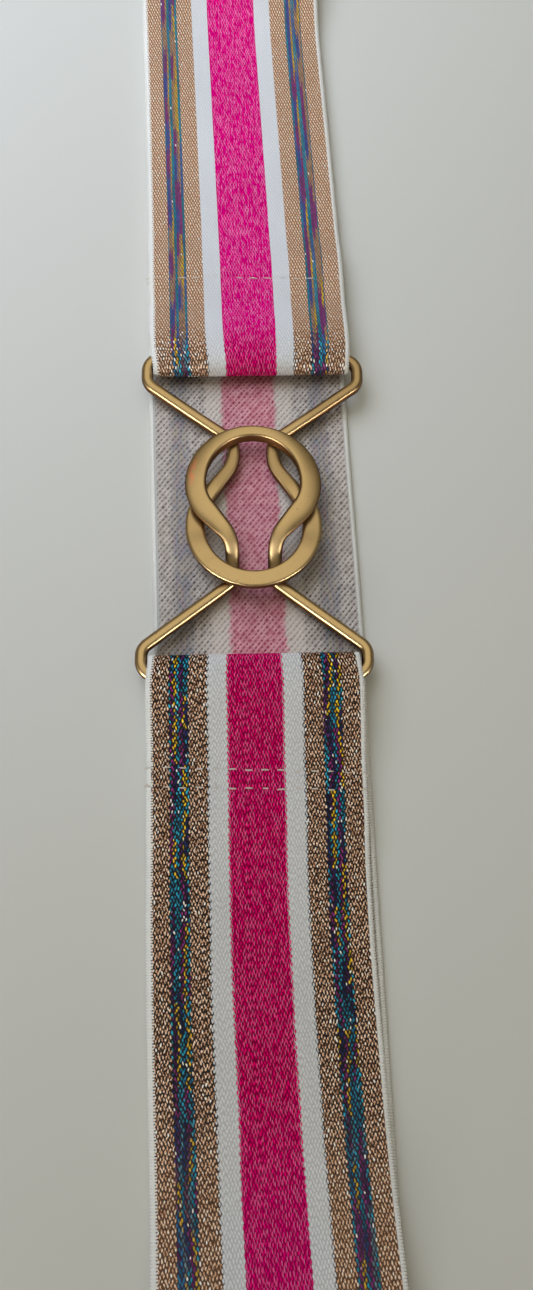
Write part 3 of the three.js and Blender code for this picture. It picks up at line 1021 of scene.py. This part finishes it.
class Geometry(Formulas):
    """Builds one Geometry Nodes tree, and turns what it makes of an object into a plain mesh."""

    def __init__(self, name, inputs):
        self.tree = bpy.data.node_groups.new(name, "GeometryNodeTree")
        interface = self.tree.interface
        interface.new_socket("Geometry", in_out="INPUT", socket_type="NodeSocketGeometry")
        self.identifiers = {}
        for label, kind, value in inputs:
            socket = interface.new_socket(label, in_out="INPUT", socket_type=kind)
            if value is not None:
                socket.default_value = value
            self.identifiers[label] = socket.identifier
        interface.new_socket("Geometry", in_out="OUTPUT", socket_type="NodeSocketGeometry")
        self.group_in = self.tree.nodes.new("NodeGroupInput")
        self.group_out = self.tree.nodes.new("NodeGroupOutput")

    def given(self, label):
        return Term(self.tree, self.group_in.outputs[label])

    def share(self):
        """How far along its curve a point lies, from 0 to 1."""
        return Term(self.tree, self.node("GeometryNodeSplineParameter").outputs["Factor"])

    def random(self, low, high, seed):
        """A random number for each copy of a shape."""
        inputs = {2: low, 3: high, "Seed": seed}
        node = self.node("FunctionNodeRandomValue", inputs, data_type="FLOAT")
        return Term(self.tree, node.outputs[1])

    def line(self, start, end, count):
        """A straight line of evenly spaced points."""
        line = self.node("GeometryNodeCurvePrimitiveLine", {"Start": start, "End": end})
        inputs = {"Curve": line, "Count": count}
        return self.node("GeometryNodeResampleCurve", inputs, mode="COUNT")

    def strand(self, line, place, radius, sides):
        """A round strand along a line whose points are moved to their new places."""
        moved = self.node("GeometryNodeSetPosition", {"Geometry": line, "Position": place})
        inputs = {"Resolution": sides, "Radius": radius}
        circle = self.node("GeometryNodeCurvePrimitiveCircle", inputs)
        inputs = {"Curve": moved, "Profile Curve": circle, "Fill Caps": True}
        return self.node("GeometryNodeCurveToMesh", inputs)

    def repeat(self, shape, axis, pivot, turn, scale):
        """Ends the tree: copies of a shape stand a pitch apart along the guide, each turned to
        it, and are made real and get their material."""
        inputs = {"Curve": self.given("Geometry"), "Length": self.given("Pitch")}
        spaced = self.node("GeometryNodeResampleCurve", inputs, mode="LENGTH")
        turned = self.node(
            "FunctionNodeAlignRotationToVector", {"Vector": self.node("GeometryNodeInputTangent")},
            axis=axis, pivot_axis=pivot,
        )
        inputs = {"Rotation": turned, "Rotate By": turn}
        faced = self.node("FunctionNodeRotateRotation", inputs, rotation_space="LOCAL")
        inputs = {"Points": spaced, "Instance": shape, "Rotation": faced, "Scale": scale}
        copies = self.node("GeometryNodeInstanceOnPoints", inputs)
        real = self.node("GeometryNodeRealizeInstances", {"Geometry": copies})
        inputs = {"Geometry": real, "Material": self.given("Material")}
        dressed = self.node("GeometryNodeSetMaterial", inputs)
        connect(self.tree, dressed, self.group_out.inputs[0])

    def make(self, guide, name, values):
        """Runs the tree on a guide object and leaves a mesh object in its place."""
        modifier = guide.modifiers.new("Build", "NODES")
        modifier.node_group = self.tree
        for label, value in values.items():
            modifier[self.identifiers[label]] = value
        piece = bake(guide, name)
        make_smooth(piece.data)
        return piece


def guide_curve(name, paths):
    """A curve object of straight-sided splines. Paths are in millimetres."""
    curve = bpy.data.curves.new(name, "CURVE")
    curve.dimensions = "3D"
    for path in paths:
        spline = curve.splines.new("POLY")
        spline.points.add(len(path) - 1)
        spline.points.foreach_set("co", [v for p in path for v in (*(MM * q for q in p), 1)])
    return place_object(name, curve)


def selvedge_tree():
    """Ribs of yarn side by side along an edge, each wrapped round it from one face to the other."""
    build = Geometry("Selvedge ribs", (
        ("Pitch", "NodeSocketFloat", 0.6 * MM),
        ("Reach", "NodeSocketFloat", 1.3 * MM),
        ("Extra reach", "NodeSocketFloat", 0.0),
        ("Half height", "NodeSocketFloat", RIB_HALF_HEIGHT * MM),
        ("Turn", "NodeSocketFloat", 0.0),
        ("Unevenness", "NodeSocketFloat", 0.1),
        ("Seed", "NodeSocketInt", 3),
        ("Material", "NodeSocketMaterial", None),
    ))
    off = build.share() * 2.0 - 1.0
    away = off.size()
    reach = build.given("Reach") + build.given("Extra reach") * off
    inward = away.power(3.0) * reach
    rounding = 1.0 - (1.0 - away).power(2.2)
    height = off.sign() * rounding * build.given("Half height")
    rib = build.strand(
        build.line((0, 0, -1), (0, 0, 1), RIB_POINTS),
        build.vector(inward * -1.0, 0.0, height),
        build.given("Pitch") * 0.46,
        RIB_SIDES,
    )
    spread = build.given("Unevenness")
    uneven = build.random(1.0 - spread, 1.0 + spread, build.given("Seed"))
    turn = build.vector(0.0, build.given("Turn"), 0.0)
    build.repeat(rib, "Y", "X", turn, build.vector(uneven, 1.0, 1.0))
    return build


# How far the ribs reach in from the left and right edge: the mean of both faces of the cloth,
# and how much further on one face than the mean.
RIB_REACH = {-1: (1.12, -0.28), 1: (0.9, -0.05)}


class BELT_OT_selvedge(bpy.types.Operator):
    """Wraps the strap's two edges in fine crosswise ribs"""

    bl_idname = "belt.selvedge"
    bl_label = "Selvedge ribs"

    def execute(self, context):
        settings = context.scene.belt_elastic
        stations = strap_stations()
        build = selvedge_tree()
        edges = []
        for side, (reach, extra) in RIB_REACH.items():
            path = [s.point(side * s.width / 2, 0) for s in stations]
            guide = guide_curve("selvedge_guide", [path])
            edges.append(build.make(guide, f"ribs_{side}", {
                "Pitch": settings.rib_pitch,
                "Reach": reach * MM,
                "Extra reach": extra * MM,
                "Half height": RIB_HALF_HEIGHT * MM,
                "Turn": 0.0 if side > 0 else math.pi,
                "Unevenness": 0.06,
                "Seed": 3,
                "Material": bpy.data.materials["elastic_selvedge"],
            }))
        ribs = join_pieces(edges, "selvedge_ribs")
        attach(ribs, "root")
        return {"FINISHED"}


def stitch_tree():
    """Running stitches of two-ply thread along a row, each arched with its ends in the cloth."""
    build = Geometry("Running stitches", (
        ("Pitch", "NodeSocketFloat", 3.5 * MM),
        ("Stitch length", "NodeSocketFloat", 2.6 * MM),
        ("Thread", "NodeSocketFloat", 0.4 * MM),
        ("Arch", "NodeSocketFloat", 0.35 * MM),
        ("Twists", "NodeSocketFloat", 3.0),
        ("Unevenness", "NodeSocketFloat", 0.12),
        ("Seed", "NodeSocketInt", 1),
        ("Material", "NodeSocketMaterial", None),
    ))
    share, thread = build.share(), build.given("Thread")
    height = ((share * math.pi).sine() - 0.5) * build.given("Arch")
    along = (share - 0.5) * build.given("Stitch length")
    radius = thread * 0.25
    turn = share * build.given("Twists") * (2 * math.pi)
    line = build.line((-0.5, 0, 0), (0.5, 0, 0), STITCH_POINTS)
    stitch = build.node("GeometryNodeJoinGeometry")
    for start in (0.0, math.pi):
        angle = turn + start
        place = build.vector(along, angle.cosine() * radius, height + angle.sine() * radius)
        ply = build.strand(line, place, thread * 0.3, STITCH_SIDES)
        connect(build.tree, ply, stitch.inputs[0])
    spread, seed = build.given("Unevenness"), build.given("Seed")
    uneven = build.random(1.0 - spread, 1.0 + spread, seed)
    lift = build.random(0.3, 1.15, seed + 5)
    swing = build.random(spread * -0.8, spread * 0.8, seed + 9)
    turn = build.vector(0.0, 0.0, swing)
    build.repeat(stitch, "X", "AUTO", turn, build.vector(uneven, 1.0, lift))
    return build


def surface_height(along, across):
    """Height of the front layer's top at a place, with the dents of the sewn rows."""
    half, flap_end = (UPPER_HALF, UPPER_FLAP_END) if along > 0 else (LOWER_HALF, LOWER_FLAP_END)
    height = read_rows(front_rows(half, flap_end), abs(along))
    return height + STRAP_THICKNESS / 2 - seam_dent(along, across)


# How far the sewn rows lie below the surface that they cross, and how far they waver.
SEWN_DEPTH = 0.1
SEAM_WAVER = 0.12


def seam_path(row, reach=24.2):
    """Where one sewn row crosses the front layer, from its left edge to its right."""
    path = []
    steps = 60
    for i in range(steps + 1):
        across = between(-reach, reach, i / steps)
        waver = SEAM_WAVER * math.sin(across * 0.55 + row["along"])
        along = row["along"] + row["skew"] * across + waver
        wander = read_rows(FRONT_WANDER, along)
        path.append((wander + across, along, surface_height(along, across) - SEWN_DEPTH))
    return path


def loose_ends(row, side, count, seed):
    """Short frayed ends of thread where a row stops at the belt's edge."""
    random.seed(seed)
    tip = Vector(seam_path(row)[0 if side < 0 else -1])
    ends, steps = [], 8
    for _ in range(count):
        reach = random.uniform(1.2, 2.4)
        aim = random.uniform(-0.9, 0.7)
        path = []
        for i in range(steps + 1):
            t = i / steps
            out = side * reach * t
            path.append((
                tip.x + out,
                tip.y + aim * t + 0.25 * math.sin(5 * t + reach * 4),
                tip.z + 0.3 * math.sin(math.pi * t) - 1.6 * t * t,
            ))
        ends.append(path)
    return ends


class BELT_OT_stitching(bpy.types.Operator):
    """Sews the turned-back ends down with rows of running stitches"""

    bl_idname = "belt.stitching"
    bl_label = "Fold stitching"

    def execute(self, context):
        settings = context.scene.belt_thread
        thread = thread_finish(settings)
        build = stitch_tree()
        rows = []
        for i, row in enumerate(SEAMS):
            guide = guide_curve(f"row_guide_{i}", [seam_path(row)])
            rows.append(build.make(guide, f"stitch_row_{i}", {
                "Pitch": settings.stitch_pitch,
                "Stitch length": settings.stitch_length,
                "Thread": settings.thickness,
                "Arch": row["arch"] * MM,
                "Twists": 3.0,
                "Unevenness": 0.12,
                "Seed": settings.seed + i,
                "Material": thread,
            }))
        tufts = [
            *loose_ends(SEAMS[0], 1, 3, 5), *loose_ends(SEAMS[0], -1, 2, 6),
            *loose_ends(SEAMS[1], 1, 2, 7), *loose_ends(SEAMS[2], -1, 2, 8),
        ]
        guide = guide_curve("loose_ends", tufts)
        guide.data.bevel_depth = 0.12 * MM
        guide.data.bevel_resolution = 2
        guide.data.use_fill_caps = True
        guide.data.materials.append(thread)
        joined = join_pieces([*rows, bake(guide, "loose_ends")], "fold_stitching")
        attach(joined, "root")
        return {"FINISHED"}


def join_pieces(pieces, name):
    """Joins mesh objects at the origin into one."""
    with bpy.context.temp_override(
        active_object=pieces[0], object=pieces[0],
        selected_objects=pieces, selected_editable_objects=pieces,
    ):
        bpy.ops.object.join()
    pieces[0].name = pieces[0].data.name = name
    return pieces[0]


def line_points(start, end):
    count = max(1, math.ceil((end - start).length / WIRE_STEP))
    return [start.lerp(end, i / count) for i in range(count)]


def arc_points(centre, radius, first, last):
    turn = abs(last - first)
    count = max(2, math.ceil(max(turn / WIRE_TURN_STEP, turn * radius / WIRE_STEP)))
    angles = [between(first, last, i / count) for i in range(count)]
    return [centre + Vector((math.cos(a), math.sin(a))) * radius for a in angles]


def clasp_plan(half):
    """The right side of a half in plan, from the middle of its bar to the far end of its ring."""
    ring_side = Vector((half["ring_radius"], half["ring_run"]))
    turns = [Vector(corner[:2]) for corner in half["corners"]]
    stops = [Vector((0, 0)), *turns, ring_side]
    points, at = [], stops[0]
    for i, (_, _, bend) in enumerate(half["corners"]):
        corner = stops[i + 1]
        inward = (stops[i] - corner).normalized()
        outward = (stops[i + 2] - corner).normalized()
        half_angle = math.acos(inward.dot(outward)) / 2
        start = corner + inward * bend / math.tan(half_angle)
        end = corner + outward * bend / math.tan(half_angle)
        centre = corner + (inward + outward).normalized() * bend / math.sin(half_angle)
        first = math.atan2(*reversed(start - centre))
        last = math.atan2(*reversed(end - centre))
        if last - first > math.pi:
            last -= 2 * math.pi
        if first - last > math.pi:
            last += 2 * math.pi
        points += line_points(at, start) + arc_points(centre, bend, first, last)
        at = end
    points += line_points(at, ring_side)
    points += arc_points(Vector((0, half["ring_run"])), half["ring_radius"], 0, math.pi / 2)
    return [*points, Vector((0, half["ring_run"] + half["ring_radius"]))]


def wire_section(width, depth, roundness, crown, splay):
    """Points round the wire as (across, up) in millimetres, with each one's share of both."""
    section = []
    for s in range(WIRE_SIDES):
        angle = 2 * math.pi * s / WIRE_SIDES
        side, up = math.cos(angle), math.sin(angle)
        side = math.copysign(abs(side) ** roundness, side)
        up = math.copysign(abs(up) ** roundness, up)
        drop = crown * max(0, up) * ((side + 1) / 2) ** 1.6
        lean = splay * (1 - side) / 2 * (up * 0.7 + 0.3)
        section.append((side * width / 2 + lean, up * depth / 2 - drop, side, up))
    return section


def clasp_rings(half):
    """Points of one half in the part's frame, and for each its place in the wire's section."""
    right = clasp_plan(half)
    left = [Vector((-p.x, p.y)) for p in reversed(right[1:-1])]
    rise, width, depth, roundness = (column(half["wire"], i) for i in range(1, 5))
    stations = [Vector((p.x, p.y, read_rows(rise, p.y))) for p in [*right, *left]]
    yaw = math.radians(half["yaw"])
    turn = math.pi - yaw if half["side"] > 0 else -yaw
    bar = Vector((half["bar_across"], half["side"] * half["bar_along"],
                  BAR_HEIGHT + half["bar_rise"]))
    place = Matrix.Translation(bar) @ Matrix.Rotation(turn, 4, "Z")
    points, sections = [], []
    for i, at in enumerate(stations):
        ahead = stations[(i + 1) % len(stations)] - stations[i - 1]
        across = ahead.cross(Vector((0, 0, 1))).normalized()
        raised = across.cross(ahead).normalized()
        wide, deep, rounding = (read_rows(rows, at.y) for rows in (width, depth, roundness))
        crown = half["crown"] * max(0, min(1, (wide / deep - CROWN_START) / CROWN_GROWTH))
        splay = half["splay"] * max(0, min(1, (at.y - SPLAY_START) / SPLAY_LENGTH))
        for out, high, side, up in wire_section(wide, deep, rounding, crown, splay):
            points.append(place @ (at + across * out + raised * high))
            sections.append((side, up, at.y))
    return points, sections, len(stations)


class BELT_OT_clasp(bpy.types.Operator):
    """Bends the two wire halves of the hook clasp"""

    bl_idname = "belt.clasp"
    bl_label = "Hook clasp"

    def execute(self, context):
        brass = brass_finish(context.scene.belt_brass)
        for node, half in (("clasp_half_lower", LOWER_HALF), ("clasp_half_upper", UPPER_HALF)):
            points, sections, rings = clasp_rings(half)
            faces, _ = ring_faces(rings, WIRE_SIDES, True)
            piece = new_piece(f"{node}_cast", points, faces, [brass])
            write_attribute(piece, "wire", sections)
            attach(piece, "root")
            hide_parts(node)
        return {"FINISHED"}


def area_light(name, place, aim, size, power, colour, lights_cloth=True, seen_in_metal=True):
    """A rectangular lamp that the camera doesn't see."""
    light = bpy.data.lights.new(name, "AREA")
    light.shape = "RECTANGLE"
    light.size, light.size_y = size
    light.energy = power
    light.color = colour
    lamp = place_object(name, light)
    lamp.visible_camera = False
    lamp.visible_diffuse = lights_cloth
    lamp.visible_glossy = seen_in_metal
    lamp.location = place
    lamp.rotation_euler = (Vector(aim) - Vector(place)).to_track_quat("-Z", "Y").to_euler()


# Where the ceiling panel is, and the surroundings' colours by how nearly a direction points at it.
CEILING_PANEL = Vector((-0.03, 0.33, 1))
SKY_STOPS = (
    (0.0, (0.09, 0.072, 0.045)),
    (0.45, (0.11, 0.098, 0.075)),
    (0.8, (0.21, 0.19, 0.148)),
    (0.93, (0.86, 0.8, 0.64)),
)


def light_all_round(tree, strength):
    """A dim room with a large bright ceiling panel."""
    place = new_node(tree, "ShaderNodeTexCoord")
    inputs = {0: place.outputs["Generated"], 1: CEILING_PANEL.normalized()}
    lean = new_node(tree, "ShaderNodeVectorMath", inputs, operation="DOT_PRODUCT")
    ramp = new_node(tree, "ShaderNodeValToRGB", {"Fac": lean.outputs["Value"]})
    fill_ramp(ramp.color_ramp, SKY_STOPS)
    background = tree.nodes["Background"]
    connect(tree, strength, background.inputs["Strength"])
    connect(tree, ramp, background.inputs["Color"])


# The table lies just under the selvedge ribs, which stand out a little from the cloth. Its reach
# is from the belt's middle to each of its sides.
TABLE_HEIGHT = -0.15
TABLE_REACH = 4000

# The colour of both windows.
WINDOW_COLOUR = (1.0, 0.98, 0.95)


class BELT_OT_stage(bpy.types.Operator):
    """Sets the table, the soft lights and the camera"""

    bl_idname = "belt.stage"
    bl_label = "Stage"

    def execute(self, context):
        settings = context.scene.belt_stage
        corners = [
            (x * TABLE_REACH, y * TABLE_REACH, TABLE_HEIGHT)
            for x, y in ((-1, -1), (1, -1), (1, 1), (-1, 1))
        ]
        table = new_piece("table_top", corners, [(0, 1, 2, 3)], [table_finish(settings)])

        area_light("key", (-0.2, 0.32, 0.33), (-0.1, 0.3, 0), (0.5, 0.4), settings.key_power,
                   (0.84, 0.93, 1.14), seen_in_metal=False)
        area_light("front", (-0.6, -3.8, 0.9), (0, 0, 0), (1.4, 0.9), settings.front_power,
                   (1.0, 0.97, 0.9), seen_in_metal=False)
        area_light("left_window", (-1.38, -1.45, 0.7), (0, 0, 0), (1.3, 0.55),
                   settings.window_power, WINDOW_COLOUR, lights_cloth=False)
        area_light("right_window", (1.4, -1.4, 0.66), (0, 0, 0), (0.9, 0.45),
                   settings.window_power * 0.5, WINDOW_COLOUR, lights_cloth=False)

        world = bpy.data.worlds.new("Surroundings")
        context.scene.world = world
        world.use_nodes = True
        light_all_round(world.node_tree, settings.surroundings)

        camera = bpy.data.cameras.new("camera")
        camera.lens = settings.lens
        camera.sensor_width = 36
        camera.clip_start = 0.01
        camera.dof.use_dof = False
        view = place_object("camera", camera)
        right = Vector((0.99881, -0.03903, 0.02915))
        up = Vector((0.02996, 0.96404, 0.26411))
        behind = Vector((-0.03840, -0.26292, 0.96406))
        view.matrix_world = Matrix.Translation(Vector((-6.89, -93.45, 222.18)) * MM) @ Matrix(
            (right, up, behind)
        ).transposed().to_4x4()
        context.scene.camera = view
        context.scene.view_settings.view_transform = "Standard"
        return {"FINISHED"}


class BELT_PT_panel(bpy.types.Panel):
    """Lists the belt's pieces and their settings"""

    bl_idname = "BELT_PT_panel"
    bl_label = "Belt"
    bl_space_type = "VIEW_3D"
    bl_region_type = "UI"
    bl_category = "Belt"

    def draw(self, context):
        scene = context.scene
        for group, (_, operators) in GROUPS.items():
            box = self.layout.box()
            for name in getattr(scene, group).__annotations__:
                box.prop(getattr(scene, group), name)
            for operator in operators:
                box.operator(operator.bl_idname)


GROUPS = {
    "belt_elastic": (ElasticSettings, (BELT_OT_strap, BELT_OT_selvedge)),
    "belt_thread": (ThreadSettings, (BELT_OT_stitching,)),
    "belt_brass": (BrassSettings, (BELT_OT_clasp,)),
    "belt_stage": (StageSettings, (BELT_OT_stage,)),
}
CLASSES = [
    *(settings for settings, _ in GROUPS.values()),
    *(operator for _, operators in GROUPS.values() for operator in operators),
    BELT_PT_panel,
]


def register():
    for kind in CLASSES:
        bpy.utils.register_class(kind)
    for name, (settings, _) in GROUPS.items():
        setattr(bpy.types.Scene, name, PointerProperty(type=settings))


def unregister():
    for name in GROUPS:
        delattr(bpy.types.Scene, name)
    for kind in reversed(CLASSES):
        bpy.utils.unregister_class(kind)


def main():
    register()
    bpy.ops.belt.strap()
    bpy.ops.belt.selvedge()
    bpy.ops.belt.stitching()
    bpy.ops.belt.clasp()
    bpy.ops.belt.stage()
    strap_length = round(strap_stations()[-1].run * MM, 3)


if __name__ == "__main__":
    main()
